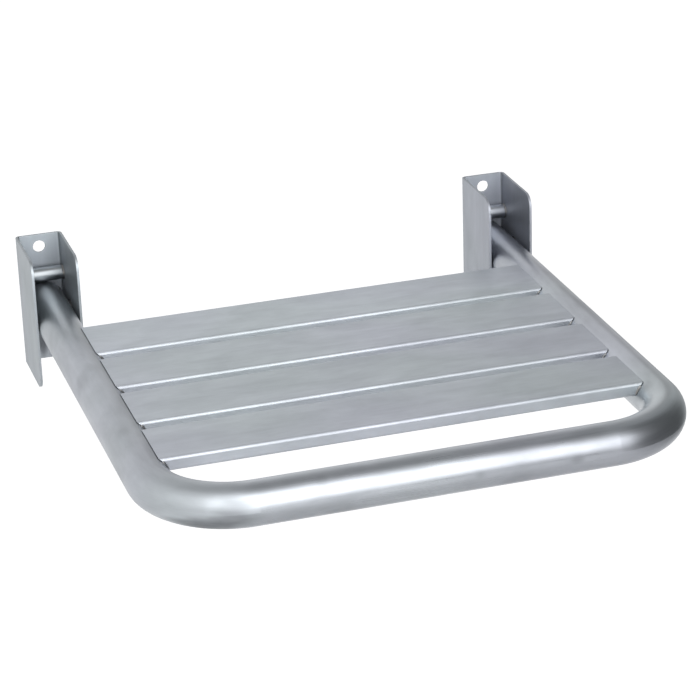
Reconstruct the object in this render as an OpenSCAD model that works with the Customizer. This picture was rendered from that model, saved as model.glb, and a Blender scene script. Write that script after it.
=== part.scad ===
// Fold-down wall seat: a bent tube frame with four slats, hinged in two folded wall brackets.
// The wall is the plane Y = 0, the seat reaches out along -Y, and Z is up.
// The origin is the centre of the four fixing holes, on the wall.

/* [Seat frame] */
// Distance between the centre lines of the two side tubes
frame_span = 400; // [340:5:520]
// Outside diameter of the bent tube
tube_d = 33.7; // [30:0.1:38]
// Wall of the bent tube
tube_wall = 2; // [1.5:0.1:3]
// Radius of the two front bends, at the tube's centre line
bend_r = 63; // [55:1:100]

/* [Slats] */
// Width of the three rear slats, from front to back
slat_w = 60; // [50:0.5:70]
// Width of the front slat
front_slat_w = 57; // [45:0.5:70]
// Height of one slat
slat_h = 11; // [10:0.5:13]
// Radius along the edges of a slat
slat_r = 2.5; // [1:0.1:4]
// Wall of a slat
slat_wall = 1.5; // [1:0.1:2]
// Gap between two slats
slat_gap = 11.4; // [6:0.1:16]
// How far the slats lie below the top of the tube
slat_drop = 2.65; // [2:0.05:4]
// Distance from the wall to the rear slat
rear_gap = 112.3; // [95:0.1:150]
// Gap between the front slat and the front tube
front_gap = 48.65; // [20:0.05:80]

/* [Wall brackets] */
// Height of the folded channel
bracket_h = 113; // [104:1:140]
// Depth of the cheeks, measured from the wall
bracket_d = 71; // [66:1:90]
// Thickness of the sheet
sheet_t = 2; // [1.5:0.5:3]
// Inside radius of the two folds
fold_r = 2; // [1:0.5:3]
// Radius of the front corners of the cheeks
cheek_r = 11; // [4:0.5:14]
// Room between the side of the tube and a cheek
side_room = 0.9; // [0.6:0.1:2]
// Diameter of the fixing holes
fixing_d = 10.5; // [8:0.5:13]
// Distance between the upper and the lower fixing hole of one bracket
fixing_pitch = 78; // [74:1:84]
// Distance from the centre of the upper fixing hole to the top of the channel
fixing_edge = 10.8; // [9:0.1:14]

/* [Hinge] */
// How far the hinge axis lies below the middle of the fixing holes
pivot_drop = 8.2; // [6:0.1:10]
// Diameter of the hinge pins
pivot_d = 10; // [8:0.5:12]
// Wall of the plastic bushes
bush_wall = 1; // [0.8:0.1:1.5]
// Length of a bush inside its sleeve
bush_len = 12; // [8:0.5:14]
// How far the flange of a bush stands out around it
bush_rim = 1.5; // [1:0.1:2.5]
// Wall of the sleeve that is welded across the tube
sleeve_wall = 2.5; // [2:0.1:3.5]
// Length of the plug in the tube's rear end
plug_len = 12; // [8:0.5:14]
// Wall of the plug
plug_wall = 2.5; // [1.5:0.1:3]

/* [Stop for the folded seat] */
// Diameter of the stop pins
stop_d = 12; // [10:0.5:13]
// Height of the stop pins above the hinge axis
stop_rise = 24.1; // [23:0.1:28]
// Angle past upright at which the folded seat leans on the stop pins
fold_lean = 1.5; // [0:0.5:3]

/* [Hidden] */
$fn = 96;
// Colours of the satin steel, the ground pins and the plastic
satin_steel = [0.66, 0.67, 0.70];
ground_steel = [0.80, 0.81, 0.83];
dark_plastic = [0.16, 0.16, 0.17];
// Gap at a seam that the weld closes
weld_gap = 0.45;
// Gap around a piece that is fixed in its hole
seat_gap = 0.05;
// Running gap between a hinge pin and its bush
running_gap = 0.05;
// Play between the flange of a bush and the cheek beside it
side_play = 0.15;
// Gap left where the seat comes to rest against the back plate or a stop pin
rest_gap = 0.3;
// How far a cut runs past what it cuts
overrun = 1;
// Smallest radius inside a slat
least_edge = 0.3;
// Share of the slat's height that its edge radius may reach
edge_share = 0.4;
// Bevel at the ends of the stop pins, as a share of the folds' inside radius, which it clears
bevel_share = 0.6;
// The tube and the slats
tube_r = tube_d / 2;
slat_pitch = slat_w + slat_gap;
slats_depth = 3 * slat_pitch + front_slat_w;
frame_reach = rear_gap + slats_depth + front_gap + tube_r;
bend_out = frame_reach - bend_r;
bend_side = frame_span / 2 - bend_r;
slat_edge = min(slat_r, slat_h * edge_share);
slat_inner_edge = max(slat_edge - slat_wall, least_edge);
// The folded channel
channel_inside = tube_d + 2 * side_room;
channel_w = channel_inside + 2 * sheet_t;
fixing_rise = min(fixing_pitch, bracket_h - fixing_edge - fixing_d) / 2;
bracket_top = fixing_rise + fixing_edge;
bracket_middle = bracket_top - bracket_h / 2;
// The stop pins lie just in front of the back plate, and touch the back of the tube when the seat
// is folded and leans on them, which sets the hinge axis, rounded up to half a millimetre
stop_reach = tube_r + stop_d / 2 + rest_gap;
stop_ahead = (stop_reach + stop_rise * sin(fold_lean)) / cos(fold_lean);
pivot_out = ceil(2 * (sheet_t + stop_d / 2 + seat_gap + stop_ahead)) / 2;
stop_out = pivot_out - stop_ahead;
stop_len = channel_inside - 2 * weld_gap;
stop_bevel = fold_r * bevel_share;
// The hinge, from the pin outwards
pivot_z = -pivot_drop;
bush_bore_r = pivot_d / 2 + running_gap;
bush_r = bush_bore_r + bush_wall;
sleeve_bore_r = bush_r + seat_gap;
sleeve_r = sleeve_bore_r + sleeve_wall;
flange_t = side_room - side_play;
slat_z = pivot_z + tube_r - slat_drop - slat_h;
// The rear end of the tube: its low edge bears on the back plate when the seat is down,
// and its high edge just clears the back plate as the seat swings up
end_low = pivot_out - sheet_t - rest_gap;
end_high = sqrt(pow(end_low, 2) - pow(tube_r, 2));
end_run = end_low - end_high;
end_slant = atan(end_run / tube_d);
end_out = pivot_out - end_low;
stop_z = pivot_z + stop_rise;

// Rounded rectangle with its lower corner at the origin
module rounded_rectangle(w, h, r) {
    for (x = [r, w - r], y = [r, h - r]) translate([x, y]) circle(r);
    translate([r, 0]) square([w - 2 * r, h]);
    translate([0, r]) square([w, h - 2 * r]);
}

// Outline of a block seen from above: its back corners are rounded, its front is square
module round_backed(w, front, back, r) {
    translate([-w / 2, front]) square([w, back - r - front]);
    translate([r - w / 2, front]) square([w - 2 * r, back - front]);
    for (x = [r - w / 2, w / 2 - r]) translate([x, back - r]) circle(r);
}

// Turns an outline drawn in Y and Z into a bar along X, centred on X = 0
module bar_along_x(length) {
    translate([-length / 2, 0, 0]) rotate([90, 0, 90]) linear_extrude(length) children();
}

// Round bar along X, centred on X = 0
module round_bar(r, length) {
    rotate([0, 90, 0]) cylinder(r = r, h = length, center = true);
}

// Places a piece at the left (-1) or the right (1) side tube
module at_side(side) {
    translate([side * frame_span / 2, 0, 0]) children();
}

// Places a piece on the hinge axis
module at_pivot() {
    translate([0, -pivot_out, pivot_z]) children();
}

// Places a piece on the axis of the stop pins
module at_stop() {
    translate([0, -stop_out, stop_z]) children();
}

// Waste at the upper front corner of the cheeks, outside their corner radius, of a channel
// whose middle is at the height of the origin
module cheek_corner() {
    translate([0, -bracket_d, bracket_h / 2 - cheek_r])
        bar_along_x(channel_w + 2 * overrun)
            difference() {
                translate([-overrun, 0]) square([overrun + cheek_r, overrun + cheek_r]);
                translate([cheek_r, 0]) circle(cheek_r);
            }
}

// Wall bracket: a channel folded from sheet, open at the front, the top and the bottom
module bracket() {
    color(satin_steel)
        difference() {
            translate([0, 0, bracket_top - bracket_h]) linear_extrude(bracket_h)
                difference() {
                    round_backed(channel_w, -bracket_d, 0, fold_r + sheet_t);
                    round_backed(channel_inside, -bracket_d - overrun, -sheet_t, fold_r);
                }
            translate([0, 0, bracket_middle]) {
                cheek_corner();
                mirror([0, 0, 1]) cheek_corner();
            }
            for (z = [-fixing_rise, fixing_rise])
                translate([0, overrun, z]) rotate([90, 0, 0]) cylinder(d = fixing_d, h = sheet_t + 2 * overrun);
            at_pivot() round_bar(pivot_d / 2 + seat_gap, channel_w + 2 * overrun);
        }
}

// Stop pin: a round bar welded between the cheeks, bevelled at both ends
module stop_pin() {
    color(ground_steel) at_stop()
        for (side = [0, 1]) mirror([side, 0, 0]) rotate([0, 90, 0]) {
            cylinder(r = stop_d / 2, h = stop_len / 2 - stop_bevel);
            translate([0, 0, stop_len / 2 - stop_bevel])
                cylinder(r1 = stop_d / 2, r2 = stop_d / 2 - stop_bevel, h = stop_bevel);
        }
}

// Hinge pin: passes both cheeks and the tube between them
module pivot_pin() {
    color(ground_steel) at_pivot() round_bar(pivot_d / 2, channel_w);
}

// The path of the bent tube, filled to a given radius: two legs, two bends and the front bar
module frame_path(r) {
    translate([0, 0, pivot_z]) {
        for (side = [-1, 1])
            translate([side * frame_span / 2, 0, 0]) rotate([90, 0, 0]) cylinder(r = r, h = bend_out);
        translate([bend_side, -bend_out, 0]) rotate([0, 0, -90])
            rotate_extrude(angle = 90) translate([bend_r, 0]) circle(r);
        translate([-bend_side, -bend_out, 0]) rotate([0, 0, 180])
            rotate_extrude(angle = 90) translate([bend_r, 0]) circle(r);
        translate([0, -frame_reach, 0]) round_bar(r, 2 * bend_side);
    }
}

// The space inside the tube's centre line, as high as the tube
module frame_inside() {
    translate([0, 0, pivot_z - tube_r]) linear_extrude(tube_d) {
        translate([-frame_span / 2, -bend_out]) square([frame_span, bend_out]);
        translate([-bend_side, -frame_reach]) square([2 * bend_side, frame_reach]);
        for (x = [-bend_side, bend_side]) translate([x, -bend_out]) circle(bend_r);
    }
}

// What the slanted cut takes off the rear end of the tube and its plug
module behind_tube_end() {
    translate([0, -end_out, pivot_z - tube_r]) rotate([end_slant, 0, 0])
        translate([-frame_span / 2 - tube_d, 0, -tube_d])
            cube([frame_span + 2 * tube_d, tube_d, 3 * tube_d]);
}

// Seat frame: one tube bent twice, drilled across near its rear ends for the sleeves
module frame_tube() {
    color(satin_steel)
        difference() {
            frame_path(tube_r);
            frame_path(tube_r - tube_wall);
            for (side = [-1, 1]) at_side(side) at_pivot() round_bar(sleeve_r + seat_gap, tube_d + 2 * overrun);
            behind_tube_end();
        }
}

// Slat: a flat rectangular tube, its ends shaped to the side tubes; index 0 is the rear one
module slat(index, w) {
    back = rear_gap + index * slat_pitch;
    color(satin_steel)
        difference() {
            intersection() {
                translate([0, -back - w, slat_z]) bar_along_x(frame_span + 2 * overrun)
                    difference() {
                        rounded_rectangle(w, slat_h, slat_edge);
                        translate([slat_wall, slat_wall])
                            rounded_rectangle(w - 2 * slat_wall, slat_h - 2 * slat_wall, slat_inner_edge);
                    }
                frame_inside();
            }
            frame_path(tube_r + weld_gap);
        }
}

// Sleeve welded across the tube, its ends ground to the tube's round sides
module pivot_sleeve() {
    color(satin_steel)
        at_pivot() difference() {
            intersection() {
                round_bar(sleeve_r, tube_d + overrun);
                rotate([90, 0, 0]) cylinder(r = tube_r, h = tube_d, center = true);
            }
            round_bar(sleeve_bore_r, tube_d + 2 * overrun);
        }
}

// Flanged bush at the sleeve's right end; the flange runs against the cheek
module bush() {
    color(dark_plastic)
        at_pivot() difference() {
            translate([tube_r - bush_len, 0, 0]) rotate([0, 90, 0]) {
                cylinder(r = bush_r, h = bush_len + flange_t);
                translate([0, 0, bush_len]) cylinder(r = bush_r + bush_rim, h = flange_t);
            }
            round_bar(bush_bore_r, channel_w);
        }
}

// Plug in the tube's rear end: a cup with its closed end outwards, cut level with the tube
module tube_plug() {
    plug_r = tube_r - tube_wall - seat_gap;
    closed_end = end_out + end_run + plug_wall;
    color(dark_plastic)
        difference() {
            translate([0, 0, pivot_z]) rotate([90, 0, 0]) difference() {
                cylinder(r = plug_r, h = end_out + end_run + plug_len);
                translate([0, 0, closed_end]) cylinder(r = plug_r - plug_wall, h = plug_len);
            }
            behind_tube_end();
        }
}

module left_bracket() { at_side(-1) bracket(); }
module right_bracket() { at_side(1) bracket(); }
module left_stop_pin() { at_side(-1) stop_pin(); }
module right_stop_pin() { at_side(1) stop_pin(); }
module left_pivot_pin() { at_side(-1) pivot_pin(); }
module right_pivot_pin() { at_side(1) pivot_pin(); }
module rear_slat() { slat(0, slat_w); }
module second_slat() { slat(1, slat_w); }
module third_slat() { slat(2, slat_w); }
module front_slat() { slat(3, front_slat_w); }
module left_pivot_sleeve() { at_side(-1) pivot_sleeve(); }
module right_pivot_sleeve() { at_side(1) pivot_sleeve(); }
module left_outer_bush() { at_side(-1) mirror([1, 0, 0]) bush(); }
module left_inner_bush() { at_side(-1) bush(); }
module right_inner_bush() { at_side(1) mirror([1, 0, 0]) bush(); }
module right_outer_bush() { at_side(1) bush(); }
module left_tube_plug() { at_side(-1) tube_plug(); }
module right_tube_plug() { at_side(1) tube_plug(); }

left_bracket();
right_bracket();
left_stop_pin();
right_stop_pin();
left_pivot_pin();
right_pivot_pin();
frame_tube();
rear_slat();
second_slat();
third_slat();
front_slat();
left_pivot_sleeve();
right_pivot_sleeve();
left_outer_bush();
left_inner_bush();
right_inner_bush();
right_outer_bush();
left_tube_plug();
right_tube_plug();
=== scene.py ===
"""Fold-down wall seat of satin stainless steel: its finishes, its welds, the studio and the camera."""
import math

import bmesh
import bpy
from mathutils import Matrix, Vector


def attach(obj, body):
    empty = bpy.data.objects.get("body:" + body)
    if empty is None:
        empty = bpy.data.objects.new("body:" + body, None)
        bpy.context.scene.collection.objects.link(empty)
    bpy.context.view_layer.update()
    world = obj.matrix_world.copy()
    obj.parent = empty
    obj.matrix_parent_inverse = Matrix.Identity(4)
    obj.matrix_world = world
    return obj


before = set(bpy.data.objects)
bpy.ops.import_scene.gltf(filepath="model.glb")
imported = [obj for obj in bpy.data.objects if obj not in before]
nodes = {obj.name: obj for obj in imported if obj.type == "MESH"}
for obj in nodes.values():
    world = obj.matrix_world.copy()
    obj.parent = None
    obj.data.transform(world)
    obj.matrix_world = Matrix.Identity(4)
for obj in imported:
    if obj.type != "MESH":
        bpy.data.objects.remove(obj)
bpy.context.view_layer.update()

# Sizes in metres, as in the part's source. A slat has its rear edge's distance from the wall, then its width.
SPAN_HALF, TUBE_R, TUBE_Z, BEND_R, REACH = 0.2, 0.01685, -0.0082, 0.063, 0.449
BEND_SIDE, BEND_OUT = SPAN_HALF - BEND_R, REACH - BEND_R
SLATS = {"rear": (0.1123, 0.060), "second": (0.1837, 0.060), "third": (0.2551, 0.060),
         "front": (0.3265, 0.057)}
SLAT_TOP, SLAT_H = 0.006, 0.011
CHEEK_IN, STOP_OUT, STOP_Z, STOP_R = 0.01775, 0.008211, 0.0159, 0.006
SIDES = ((-1, "left"), (1, "right"))

# The steels' noises in cycles per millimetre, along the grain and then twice across it
FINE_GRAIN, BANDS = (0.02, 2.3, 2.3), (0.006, 0.30, 0.30)
CLOUDS, SMEARS = (0.014, 0.035, 0.035), (0.05, 0.11, 0.11)
TINTS, WANDER, SWELL = (0.006, 0.009, 0.009), (0.03, 0.09, 0.09), (0.022, 0.04, 0.04)
SEED_STEPS_MM = (37.0, 11.0, 23.0)
MM = 1000.0
# How much each noise lightens and darkens the steel, then how much it changes its roughness
CLOUD_DEPTH, SMEAR_DEPTH, BAND_DEPTH, FINE_DEPTH = 0.045, 0.018, 0.02, 0.03
CLOUD_ROUGHNESS, FINE_ROUGHNESS = 0.035, 0.03
# The grain's relief, how unevenly the belt stopped, and how ragged, and how much rougher, a dark patch is
RELIEF_MM, BLUR_MM, RAGGED, DULL_ROUGHNESS = 0.006, 9.0, 0.035, 0.25
# How far the bevel's normal has to turn for a slightly and for a fully worn edge, and how much smoother that is
WORN_FROM, WORN_TO, WORN_SMOOTHER = 0.01, 0.12, 0.05
# The plastic's noises in cycles per metre
PLASTIC_GRAIN, PLASTIC_CLOUDS = 5200.0, 160.0

# The steels' base colours, which differ between the pieces as they do in the photograph
TUBE_TONE, SLAT_TONE, BRACKET_TONE = (0.425, 0.449, 0.478), (0.478, 0.507, 0.543), (0.384, 0.408, 0.438)
# Painted light: the two stop pins are the same ground steel, and the right one's tone is painted lighter,
# standing in for its brighter highlight
PIN_TONE_AND_PAINTED_LIGHT = {"left": (0.345, 0.364, 0.38), "right": (0.46, 0.484, 0.50)}
# Painted light: each slat's own brightness factor, the rear one lightest, standing in for the different
# reflections the identical slats catch
SLAT_PAINTED_LIGHT = (1.12, 1.06, 1.035, 1.035)

# Where the polishing belt stopped on the bent tube: the side, how far along, and how much rougher past that
BELT_ENDS = ((-1, 147, 0.11), (1, 128, 0.05))
# Dark, dull patches: a place on the grain's path and radii along and around it, in millimetres, then a depth.
# The first three are painted shade: dark reflections of the shaded floor under the left bend and of the dim
# ceiling above the bar's right end. The rest darken the tube in blotches.
TUBE_BLOTCHES_AND_PAINTED_SHADE = (
    ((-172, 12, -12), 25, 11, 0.46), ((-151, 16.8, 0), 14, 17, 0.32), ((120, 9, 14), 34, 9, 0.16),
    ((-292, 5, 16), 14, 8, 0.12), ((-404, 11, 12), 16, 9, 0.10), ((-252, 16, -3), 20, 9, 0.10),
    ((27, 16.5, 1), 6, 5, 0.18), ((102, 16.5, 1), 7, 5, 0.20), ((-90, 9, 14), 6, 5, 0.14),
    ((55, 13, -11), 22, 9, 0.12), ((-75, 13, -11), 16, 9, 0.14), ((232, -12, 11), 14, 12, 0.20),
)
# Painted shade: a dark patch low on the left back plate, below the tube, laid out as the tube's patches are
BRACKET_PAINTED_SHADE = {"left": (((-47, -205, -2), 15, 10, 0.42),), "right": ()}

# The studio, in metres
FLOOR_Z, FLOOR_HALF, FLOOR_GREY = -0.45, 9.0, (0.62, 0.62, 0.62, 1)
BELOW_SEAT = (-0.05, -0.45, 0.0)
FLAG_X = 1.0
FLAG_OUTLINE = ((-1.60, FLOOR_Z), (-1.60, 0.25), (-1.15, 0.90), (-0.70, 2.60), (0.55, 2.60), (0.62, 0.60),
                (0.62, FLOOR_Z))
# The middle of the dimmer ceiling, as a direction, and the part of the room's light that falls on the object
CEILING, ROOM_LIGHT = (0.2, 0.22, 0.955), 0.55
# Azimuth and elevation in degrees, then distance, width and height, then radiance
SOFTBOXES = {
    "key_softbox": (-5.5, 30, 1.7, 2.15, 2.0, 1.1),
    "wide_softbox": (-5, 28, 1.75, 2.35, 3.3, 0.8),
    "high_softbox": (-6, 66, 1.8, 1.9, 1.15, 0.34),
    "left_fill": (-72, 18, 1.8, 1.4, 1.5, 0.33),
}

# Weld beads, in metres: their radii, the pitch of their ripples, and how far they sit in the corners
SLAT_BEAD_R, FACE_BEAD_R, PIN_BEAD_R, LEAST_BEAD_R = 0.0018, 0.0011, 0.0009, 0.00012
RIPPLE, RIPPLE_DEPTH = 0.0013, 0.10
SEAM_SINK, FACE_SINK, FACE_IN, PIN_SINK, CHEEK_SINK = 0.0004, 0.0003, 0.0002, 0.0005, 0.00045
# Where the beads along a slat and up its faces start and how much shorter they are, then their numbers of steps
SLAT_BEAD_MARGIN, FACE_BEAD_RISE, FACE_BEAD_SHORTER = 0.004, 0.0012, 0.0034
SLAT_BEAD_STEPS, FACE_BEAD_STEPS, PIN_BEAD_STEPS, SPOKES = 79, 13, 48, 9


class Graph:
    """Adds nodes to one shader tree and links them."""

    def __init__(self, tree):
        self.tree = tree

    def add(self, kind, inputs=None, **settings):
        node = self.tree.nodes.new("ShaderNode" + kind)
        for key, value in settings.items():
            setattr(node, key, value)
        for key, value in (inputs or {}).items():
            self.put(node.inputs[key], value)
        return node

    def put(self, socket, value):
        if isinstance(value, bpy.types.NodeSocket):
            self.tree.links.new(value, socket)
        else:
            socket.default_value = value

    def math(self, operation, *values):
        node = self.add("Math", operation=operation)
        for socket, value in zip(node.inputs, values):
            self.put(socket, value)
        return node.outputs[0]

    def total(self, first, *others):
        for other in others:
            first = self.math("ADD", first, other)
        return first

    def vector(self, operation, *values):
        node = self.add("VectorMath", operation=operation)
        for socket, value in zip(node.inputs, values):
            self.put(socket, value)
        return node.outputs["Value" if operation in ("DOT_PRODUCT", "LENGTH") else "Vector"]

    def split(self, vector):
        return self.add("SeparateXYZ", {"Vector": vector}).outputs[:]

    def join(self, x, y, z):
        return self.add("CombineXYZ", {"X": x, "Y": y, "Z": z}).outputs[0]

    def place(self):
        """Object coordinates in metres."""
        return self.add("TexCoord").outputs["Object"]

    def place_mm(self):
        """Object coordinates in millimetres."""
        scaled = self.vector("SCALE", self.place())
        self.put(scaled.node.inputs["Scale"], MM)
        return scaled

    def noise(self, vector, scale, detail=2.0, roughness=0.5, distortion=0.0):
        node = self.add("TexNoise", {"Vector": vector, "Scale": scale, "Detail": detail,
                                     "Roughness": roughness, "Distortion": distortion})
        return node.outputs[0]

    def fit(self, value, low, high, to_low, to_high, smooth=False):
        """Takes a value from the range low to high to the range to_low to to_high, and stops at its ends."""
        node = self.add("MapRange", {"Value": value, "From Min": low, "From Max": high,
                                     "To Min": to_low, "To Max": to_high},
                        interpolation_type="SMOOTHSTEP" if smooth else "LINEAR")
        return node.outputs["Result"]

    def spread(self, noise, to_low, to_high):
        """Fits the range that a noise mostly keeps to."""
        return self.fit(noise, 0.3, 0.7, to_low, to_high)

    def mix(self, factor, a, b, blend="MIX"):
        node = self.add("Mix", data_type="RGBA", blend_type=blend)
        self.put(node.inputs["Factor"], factor)
        self.put(node.inputs[6], a)
        self.put(node.inputs[7], b)
        return node.outputs[2]

    def surface(self, shader):
        self.add("OutputMaterial", {"Surface": shader.outputs[0]})


def new_material(name):
    material = bpy.data.materials.new(name)
    material.use_nodes = True
    material.node_tree.nodes.clear()
    return material, Graph(material.node_tree)


def add_object(name, data):
    thing = bpy.data.objects.new(name, data)
    bpy.context.scene.collection.objects.link(thing)
    return thing


def mesh_object(name, bm, material):
    mesh = bpy.data.meshes.new(name)
    bm.to_mesh(mesh)
    bm.free()
    mesh.materials.append(material)
    return add_object(name, mesh)


def tube_path(g, point):
    """Millimetres along the bent tube from the middle of the front bar, then across it, then up."""
    x, y, z = g.split(point)
    out = g.math("ABSOLUTE", x)
    dx = g.math("MAXIMUM", g.math("SUBTRACT", out, BEND_SIDE * MM), 0.0)
    dy = g.math("MAXIMUM", g.math("SUBTRACT", -BEND_OUT * MM, y), 0.0)
    from_centre = g.math("SQRT", g.total(g.math("MULTIPLY", dx, dx), g.math("MULTIPLY", dy, dy)))
    across = g.math("SUBTRACT", from_centre, BEND_R * MM)
    bar = g.math("MINIMUM", out, BEND_SIDE * MM)
    arc = g.math("MULTIPLY", g.math("ARCTAN2", dx, dy), BEND_R * MM)
    leg = g.math("MAXIMUM", g.math("ADD", y, BEND_OUT * MM), 0.0)
    along = g.math("MULTIPLY", g.total(bar, arc, leg), g.math("SIGN", x))
    return g.join(along, across, g.math("SUBTRACT", z, TUBE_Z * MM))


def along_axis(order):
    """Puts the axis of the grain first, as "xyz" or "zxy"."""
    def place(g, point):
        parts = dict(zip("xyz", g.split(point)))
        return g.join(*(parts[letter] for letter in order))
    return place


def satin_steel(name, grain, seed, tone, rough, waves=0.0, soften=0.0002, clouds=1.0, worn=0.16, bends=(),
                blotches_and_painted_shade=(), drawn=0.0, back_plate_painted_light=0.0):
    """Satin stainless steel: long fine grain, clouds left by the polishing belt, brighter worn edges.

    waves is how deep the surface's slow swell is, and soften the radius of its rounded edges.
    bends and smudges are laid out as BELT_ENDS and TUBE_BLOTCHES_AND_PAINTED_SHADE are.
    drawn, unless 0, is how far the grain along X stretches the gloss across it, up to 1.
    The last argument is painted light: how much brighter the sheet is painted on its faces along Y, most so
    near the top, standing in for the brighter reflection there.
    """
    material, g = new_material(name)
    point = g.place_mm()
    path = grain(g, point)
    shifted = g.vector("ADD", path, tuple(seed * step for step in SEED_STEPS_MM))

    def streaks(stretch, *settings):
        return g.noise(g.vector("MULTIPLY", shifted, stretch), 1.0, *settings)

    fine = streaks(FINE_GRAIN, 3.0, 0.6)
    band = streaks(BANDS, 2.0, 0.55)
    cloud = streaks(CLOUDS, 3.0, 0.55, 0.6)
    smear = streaks(SMEARS, 4.0, 0.6, 0.4)
    tint = g.noise(g.vector("MULTIPLY", point, TINTS), 1.0, 1.0, 0.5)
    # Rounded edges from the bevel's normal, and how far it turns, which marks the worn edge
    bevel = g.add("Bevel", {"Radius": soften}, samples=6).outputs[0]
    normal = g.add("NewGeometry").outputs["Normal"]
    turned = g.math("SUBTRACT", 1.0, g.vector("DOT_PRODUCT", bevel, normal))
    edge = g.fit(turned, WORN_FROM, WORN_TO, 0.0, 1.0)
    # Colour: a cool grey that drifts between a greenish and a bluish cast
    red, green, blue = tone
    greenish = (red * 0.985, green * 1.005, blue * 0.985, 1)
    bluish = (red * 1.01, green * 0.995, blue * 1.025, 1)
    cool = g.mix(g.fit(tint, 0.35, 0.65, 0.0, 1.0), greenish, bluish)
    level = g.total(g.spread(cloud, 1.0 - CLOUD_DEPTH * clouds, 1.0 + CLOUD_DEPTH * clouds),
                    g.fit(smear, 0.35, 0.65, -SMEAR_DEPTH * clouds, SMEAR_DEPTH * clouds),
                    g.spread(band, -BAND_DEPTH, BAND_DEPTH), g.spread(fine, -FINE_DEPTH, FINE_DEPTH),
                    g.math("MULTIPLY", edge, worn))
    # Painted light: the sheet's faces along Y are painted brighter, most so near the top
    if back_plate_painted_light:
        flat = g.fit(g.math("ABSOLUTE", g.split(normal)[1]), 0.8, 1.0, 0.0, back_plate_painted_light)
        near_top = g.fit(g.split(point)[2], 18.0, 46.0, 0.25, 1.0, smooth=True)
        level = g.math("ADD", level, g.math("MULTIPLY", flat, near_top))
    colour = g.mix(1.0, cool, level, "MULTIPLY")
    roughness = g.total(g.spread(cloud, rough + CLOUD_ROUGHNESS, rough - CLOUD_ROUGHNESS),
                        g.spread(fine, -FINE_ROUGHNESS, FINE_ROUGHNESS))
    wander = g.spread(streaks(WANDER, 2.0), -BLUR_MM, BLUR_MM)
    for side, start, extra in bends:
        along = g.math("ADD", g.math("MULTIPLY", g.split(path)[0], side), wander)
        past = g.fit(along, start - BLUR_MM, start + BLUR_MM, 0.0, extra, smooth=True)
        roughness = g.math("ADD", roughness, past)
    # Dark patches that also dull the finish; where the tables say so, they are painted shade
    for centre, length, height, depth in blotches_and_painted_shade:
        shares = (1.0 / length, 1.0 / height, 1.0 / height)
        away = g.vector("LENGTH", g.vector("MULTIPLY", g.vector("SUBTRACT", path, centre), shares))
        away = g.math("ADD", away, g.math("MULTIPLY", wander, RAGGED))
        patch = g.fit(away, 0.1, 1.1, depth, 0.0, smooth=True)
        colour = g.mix(patch, colour, (0.0, 0.0, 0.0, 1))
        roughness = g.math("ADD", roughness, g.math("MULTIPLY", patch, DULL_ROUGHNESS))
    roughness = g.math("SUBTRACT", roughness, g.math("MULTIPLY", edge, WORN_SMOOTHER))
    relief = g.total(g.math("MULTIPLY", fine, RELIEF_MM), g.math("MULTIPLY", band, RELIEF_MM))
    if waves:
        relief = g.math("ADD", relief, g.math("MULTIPLY", streaks(SWELL, 1.5, 0.5), waves))
    bump = g.add("Bump", {"Strength": 1.0, "Distance": 1.0 / MM, "Height": relief, "Normal": bevel})
    shader = g.add("BsdfPrincipled", {"Base Color": colour, "Metallic": 1.0, "Roughness": roughness,
                                      "Normal": bump.outputs[0]})
    if drawn:
        g.put(shader.inputs["Anisotropic"], drawn)
        g.put(shader.inputs["Tangent"], g.vector("CROSS_PRODUCT", normal, (1.0, 0.0, 0.0)))
    g.surface(shader)
    return material


def dark_plastic(name):
    """Moulded plastic with a fine matt grain."""
    material, g = new_material(name)
    point = g.place()
    grain = g.noise(point, PLASTIC_GRAIN, 2.0, 0.6)
    patch = g.noise(point, PLASTIC_CLOUDS, 2.0, 0.5)
    colour = g.mix(patch, (0.030, 0.030, 0.032, 1), (0.042, 0.042, 0.045, 1))
    rough = g.total(g.spread(patch, 0.50, 0.62), g.spread(grain, -0.04, 0.04))
    bump = g.add("Bump", {"Strength": 1.0, "Distance": 0.00002, "Height": grain})
    g.surface(g.add("BsdfPrincipled", {"Base Color": colour, "Roughness": rough, "Normal": bump.outputs[0]}))
    return material


def weld_metal(name):
    """Weld metal: duller and darker than the satin, in greys that drift from faintly warm to bluish."""
    material, g = new_material(name)
    point = g.place_mm()
    patch = g.noise(point, 0.16, 3.0, 0.6, 0.5)
    speck = g.noise(point, 1.4, 3.0, 0.6)
    colour = g.mix(g.fit(patch, 0.35, 0.6, 0.0, 1.0), (0.23, 0.24, 0.255, 1), (0.29, 0.28, 0.265, 1))
    colour = g.mix(g.fit(patch, 0.6, 0.75, 0.0, 0.7), colour, (0.17, 0.19, 0.23, 1))
    colour = g.mix(1.0, colour, g.spread(speck, 0.88, 1.08), "MULTIPLY")
    rough = g.total(g.spread(patch, 0.38, 0.52), g.spread(speck, -0.05, 0.05))
    bump = g.add("Bump", {"Strength": 1.0, "Distance": 1.0 / MM, "Height": g.math("MULTIPLY", speck, 0.06)})
    g.surface(g.add("BsdfPrincipled", {"Base Color": colour, "Metallic": 1.0, "Roughness": rough,
                                       "Normal": bump.outputs[0]}))
    return material


def dress(node, material):
    for slot in nodes[node].material_slots:
        slot.material = material


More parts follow.
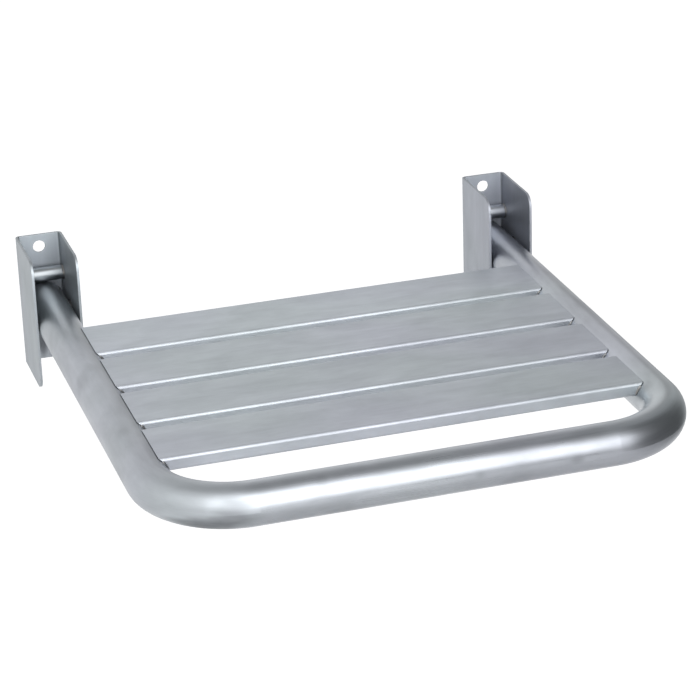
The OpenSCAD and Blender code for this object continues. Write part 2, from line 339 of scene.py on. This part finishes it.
def floor_material(name):
    """Pale grey with a glow, which the camera and reflections see and which lights nothing.

    The glow is strongest behind the seat, where it makes the floor white, and weaker below the seat, in front
    of it and far to the right. Its dip below the seat is a painted shadow of the seat, which reflections show.
    """
    material, g = new_material(name)
    rays = g.add("LightPath").outputs
    shown = g.math("MAXIMUM", rays["Is Camera Ray"], rays["Is Glossy Ray"])
    shown = g.math("MAXIMUM", shown, rays["Is Transmission Ray"])
    # Each fit goes from a range in metres to a range of the glow's strength or of a factor on it
    x, y, _ = g.split(g.place())
    # The glow dips round the point below the seat: a painted shadow of the seat
    from_seat = g.vector("LENGTH", g.vector("SUBTRACT", g.join(x, y, 0.0), BELOW_SEAT))
    front_part = g.total(g.fit(from_seat, 0.35, 1.1, 0.26, 0.46, smooth=True),
                         g.fit(from_seat, 1.1, 2.2, 0.0, 0.22, smooth=True))
    left_part = g.fit(from_seat, 0.15, 0.6, 0.24, 0.70, smooth=True)
    around = g.mix(g.fit(x, -0.5, -0.3, 1.0, 0.0, smooth=True), front_part, left_part)
    behind = g.total(g.fit(y, -0.24, -0.10, 0.24, 0.72, smooth=True), g.fit(y, 0.2, 2.0, 0.0, 0.09))
    back = g.math("MAXIMUM", y, -0.1)
    beside = g.math("SUBTRACT", x, g.math("MULTIPLY", back, 0.184))
    behind = g.math("MULTIPLY", behind, g.fit(beside, -0.62, -0.30, 0.76, 1.0, smooth=True))
    slant = g.math("SUBTRACT", x, g.math("MULTIPLY", back, 0.47))
    right = g.fit(slant, 0.44, 0.95, 1.0, 0.12, smooth=True)
    level = g.math("MULTIPLY", g.math("MAXIMUM", around, behind), right)
    pale = g.add("BsdfDiffuse", {"Color": FLOOR_GREY})
    glow = g.add("Emission", {"Color": (1, 1, 1, 1), "Strength": g.math("MULTIPLY", level, shown)})
    both = g.add("AddShader")
    g.put(both.inputs[0], pale.outputs[0])
    g.put(both.inputs[1], glow.outputs[0])
    g.surface(both)
    return material


def flag_material(name):
    """Dark grey, lighter towards the back and the top."""
    material, g = new_material(name)
    _, y, z = g.split(g.place())
    level = g.total(g.fit(y, -0.22, 0.52, 0.12, 0.62, smooth=True),
                    g.fit(z, 1.5, 2.9, 0.0, 0.33, smooth=True))
    g.surface(g.add("Emission", {"Color": (0.96, 0.99, 1.0, 1), "Strength": level}))
    return material


def studio_world(name):
    """White where the camera sees it, with a dimmer ceiling and a back wall that dims to the right."""
    world = bpy.data.worlds.new(name)
    world.use_nodes = True
    world.node_tree.nodes.clear()
    g = Graph(world.node_tree)
    rays = g.add("LightPath").outputs
    direction = g.add("TexCoord").outputs["Generated"]
    # Each fit goes from a range of the direction's parts to a range of the strength or of a factor on it
    x, y, z = g.split(direction)
    ceiling = g.fit(g.vector("DOT_PRODUCT", direction, CEILING), 0.66, 1.0, 1.0, 0.46)
    across = g.math("ADD", x, g.fit(z, 0.7, 0.9, 0.0, 0.06))
    dimming = g.math("MULTIPLY", g.fit(across, 0.26, 0.56, 0.02, -0.62, smooth=True),
                     g.fit(z, -0.1, 0.35, 0.15, 1.0))
    above = g.math("MULTIPLY", g.math("MAXIMUM", g.math("SUBTRACT", z, 0.5), 0.0), 2.0)
    behind_or_above = g.fit(g.math("ADD", y, above), 0.0, 0.4, 0.0, 1.0)
    ceiling = g.math("MULTIPLY", ceiling, g.math("ADD", 1.0, g.math("MULTIPLY", dimming, behind_or_above)))
    # Reflections see the room at full strength, and the light that it casts is weaker
    reflected = g.math("MAXIMUM", rays["Is Glossy Ray"], rays["Is Transmission Ray"])
    light = g.math("MULTIPLY", ceiling, g.fit(reflected, 0.0, 1.0, ROOM_LIGHT, 1.0))
    strength = g.math("MAXIMUM", light, rays["Is Camera Ray"])
    background = g.add("Background", {"Color": (1, 1, 1, 1), "Strength": strength})
    g.add("OutputWorld", {"Surface": background.outputs[0]})
    return world


def softbox(name, azimuth, elevation, distance, width, height, radiance, target=(0.0, -0.3, 0.0)):
    """Oval area light that faces the seat. Azimuth 0 is straight in front, and more is further right."""
    a, e = math.radians(azimuth), math.radians(elevation)
    back = Vector((math.sin(a) * math.cos(e), -math.cos(a) * math.cos(e), math.sin(e)))
    lamp = bpy.data.lights.new(name, "AREA")
    lamp.shape = "ELLIPSE"
    lamp.size, lamp.size_y = width, height
    lamp.energy = radiance * math.pi * (math.pi / 4 * width * height)
    box = add_object(name, lamp)
    box.location = Vector(target) + back * distance
    box.rotation_euler = (-back).to_track_quat("-Z", "Y").to_euler()


def sweep(name, path, size, body):
    """Rippled weld bead along a path of points, as a tube that thins at its ends unless the path is closed."""
    seed = sum(ord(letter) for letter in name)
    closed = (path[0] - path[-1]).length < 1e-6
    spots = path[:-1] if closed else path
    count = len(spots)
    bm = bmesh.new()
    rows, run, first = [], 0.0, None
    for i, point in enumerate(spots):
        before = spots[i - 1] if i or closed else point
        after = spots[(i + 1) % count] if i < count - 1 or closed else point
        run += (point - spots[i - 1]).length if i else 0.0
        tangent = (after - before).normalized()
        # The first spoke's direction is carried along the path, so that the tube doesn't twist
        first = (first - tangent * first.dot(tangent) if i else tangent.orthogonal()).normalized()
        second = tangent.cross(first)
        t = i / max(count - 1, 1)
        # The bead swells at each ripple, which come unevenly, drifts a little in size and ends bluntly
        ripple = (run / RIPPLE + 0.6 * math.sin(seed + 9.0 * t)) % 1.0
        wave = 1.0 - RIPPLE_DEPTH + RIPPLE_DEPTH * math.sin(math.pi * ripple)
        drift = (1.0 + 0.10 * math.sin(seed * 1.7 + 2 * math.pi * t)
                 + 0.05 * math.sin(seed * 0.6 + 6 * math.pi * t))
        off_middle = abs(2 * t - 1)
        blunt_end = max(0.0, 1.0 - off_middle ** 14) ** 0.5 * 0.85 + 0.15 * (1 - off_middle ** 2)
        taper = 1.0 if closed else blunt_end
        radius = size * wave * drift * taper + LEAST_BEAD_R
        row = []
        for j in range(SPOKES):
            a = 2 * math.pi * j / SPOKES
            row.append(bm.verts.new(point + first * (radius * math.cos(a)) + second * (radius * math.sin(a))))
        rows.append(row)
    for one, two in zip(rows, rows[1:] + rows[:1] if closed else rows[1:]):
        for j in range(SPOKES):
            k = (j + 1) % SPOKES
            bm.faces.new((one[j], one[k], two[k], two[j]))
    if not closed:
        bm.faces.new(reversed(rows[0]))
        bm.faces.new(rows[-1])
    bmesh.ops.recalc_face_normals(bm, faces=bm.faces)
    bead = mesh_object(name, bm, weld_steel)
    for polygon in bead.data.polygons:
        polygon.use_smooth = True
    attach(bead, body)


def seam_x(z):
    """How far out from the middle the side tube's inner flank lies at a height."""
    return SPAN_HALF - math.sqrt(TUBE_R ** 2 - (z - TUBE_Z) ** 2)


def slat_welds(slat):
    """Beads at both ends of a slat: along the seam below it, and up its front and rear faces."""
    back, depth = SLATS[slat]
    low = SLAT_TOP - SLAT_H
    x = seam_x(low) - SEAM_SINK
    start, length = -back - SLAT_BEAD_MARGIN, depth - 2 * SLAT_BEAD_MARGIN
    for side, word in SIDES:
        below = [Vector((side * x, start - length * i / SLAT_BEAD_STEPS, low - SEAM_SINK))
                 for i in range(SLAT_BEAD_STEPS + 1)]
        sweep(f"{slat}_slat_{word}_weld", below, SLAT_BEAD_R, "seat")
        for face, y in (("front", -back - depth + FACE_SINK), ("rear", -back - FACE_SINK)):
            heights = [low + FACE_BEAD_RISE + (SLAT_H - FACE_BEAD_SHORTER) * i / FACE_BEAD_STEPS
                       for i in range(FACE_BEAD_STEPS + 1)]
            up = [Vector((side * (seam_x(z) - FACE_IN), y, z)) for z in heights]
            sweep(f"{slat}_slat_{word}_{face}_weld", up, FACE_BEAD_R, "seat")


def pin_welds(side, word):
    """Bead round each end of a bracket's stop pin, where it meets the cheek."""
    radius = STOP_R - PIN_SINK
    turns = [2 * math.pi * i / PIN_BEAD_STEPS for i in range(PIN_BEAD_STEPS + 1)]
    for way, end in ((1, "outer"), (-1, "inner")):
        x = side * (SPAN_HALF + way * (CHEEK_IN - CHEEK_SINK))
        ring = [Vector((x, -STOP_OUT + radius * math.cos(a), STOP_Z + radius * math.sin(a))) for a in turns]
        sweep(f"{word}_stop_pin_{end}_weld", ring, PIN_BEAD_R, "wall_brackets")


tube_steel = satin_steel("tube_satin", tube_path, seed=1.0, tone=TUBE_TONE, rough=0.30, waves=0.35,
                         soften=0.0004, clouds=1.9, bends=BELT_ENDS, blotches_and_painted_shade=TUBE_BLOTCHES_AND_PAINTED_SHADE)
dress("frame_tube", tube_steel)
for number, (name, painted_light) in enumerate(zip(SLATS, SLAT_PAINTED_LIGHT)):
    slat_steel = satin_steel(name + "_slat_satin", along_axis("xyz"), seed=2.0 + number,
                             tone=tuple(painted_light * part for part in SLAT_TONE), rough=0.43, waves=0.08,
                             clouds=1.6, drawn=0.7)
    dress(name + "_slat", slat_steel)
for number, (_, side) in enumerate(SIDES):
    bracket_steel = satin_steel(side + "_bracket_satin", along_axis("zxy"), seed=7.0 + number,
                                tone=BRACKET_TONE, rough=0.54, waves=0.05, clouds=1.2, worn=0.05,
                                blotches_and_painted_shade=BRACKET_PAINTED_SHADE[side], back_plate_painted_light=0.5)
    dress(side + "_bracket", bracket_steel)
    dress(side + "_pivot_pin", bracket_steel)
    pin_steel = satin_steel(side + "_pin_ground", along_axis("xyz"), seed=10.0 + number, tone=PIN_TONE_AND_PAINTED_LIGHT[side],
                            rough=0.31, clouds=0.7, worn=0.05)
    dress(side + "_stop_pin", pin_steel)
    dress(side + "_pivot_sleeve", tube_steel)
plastic = dark_plastic("bush_plastic")
for name in ("left_outer_bush", "left_inner_bush", "right_inner_bush", "right_outer_bush", "left_tube_plug",
             "right_tube_plug"):
    dress(name, plastic)

# The floor lies as far below the seat as it does under a wall seat, and the soft shadow falls on it
bm = bmesh.new()
bmesh.ops.create_grid(bm, x_segments=1, y_segments=1, size=FLOOR_HALF)
floor = mesh_object("floor", bm, floor_material("floor_pale"))
floor.location = (0, 0, FLOOR_Z)

# The dark side of the studio, on the right, which only the metal shows: a screen with a slanted front edge
bm = bmesh.new()
bm.faces.new([bm.verts.new((FLAG_X, y, z)) for y, z in FLAG_OUTLINE])
flag = mesh_object("dark_flag", bm, flag_material("dark_flag_grey"))
for kind in ("camera", "diffuse", "transmission", "shadow", "volume_scatter"):
    setattr(flag, "visible_" + kind, False)

bpy.context.scene.world = studio_world("studio")
for name, settings in SOFTBOXES.items():
    softbox(name, *settings)

# The camera was fitted to the photograph's edges
camera_data = bpy.data.cameras.new("camera")
camera_data.sensor_width, camera_data.lens = 36.0, 133.937
camera_data.clip_start, camera_data.clip_end = 0.05, 60.0
camera = add_object("camera", camera_data)
camera.location = (-0.547615, -2.059734, 0.806562)
camera.rotation_euler = [math.radians(angle) for angle in (67.142193, 1.772104, -17.500402)]
bpy.context.scene.camera = camera
bpy.context.scene.view_settings.view_transform = "Standard"

weld_steel = weld_metal("weld_metal")
for slat in SLATS:
    slat_welds(slat)
for side, word in SIDES:
    pin_welds(side, word)
